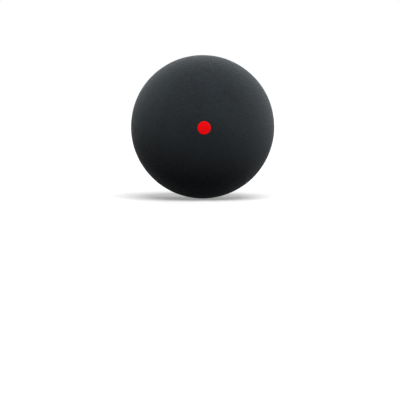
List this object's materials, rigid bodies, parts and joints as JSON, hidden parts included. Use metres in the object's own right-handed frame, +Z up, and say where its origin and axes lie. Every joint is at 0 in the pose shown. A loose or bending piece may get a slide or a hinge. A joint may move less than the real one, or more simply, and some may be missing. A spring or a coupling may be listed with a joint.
{
  "type": "squash ball",
  "caption": "Small hollow ball of matt black rubber, moulded in halves and bonded rim to rim, with a printed red dot that tells how lively it is; played against the walls of a squash court.",
  "frame": {"origin": "the ball's centre", "axes": "-Y through the middle of the speed dot, which faces the front; +Z up; the seam lies in the XZ plane"},
  "size_m": [0.04, 0.0401, 0.04],
  "materials": {
    "rubber": "matte",
    "bond": "satin",
    "ink": "satin"
  },
  "bodies": {
    "root": {"front_half_shell": "rubber", "rear_half_shell": "rubber", "seam_bond": "bond", "speed_dot": "ink"}
  },
  "joints": []
}
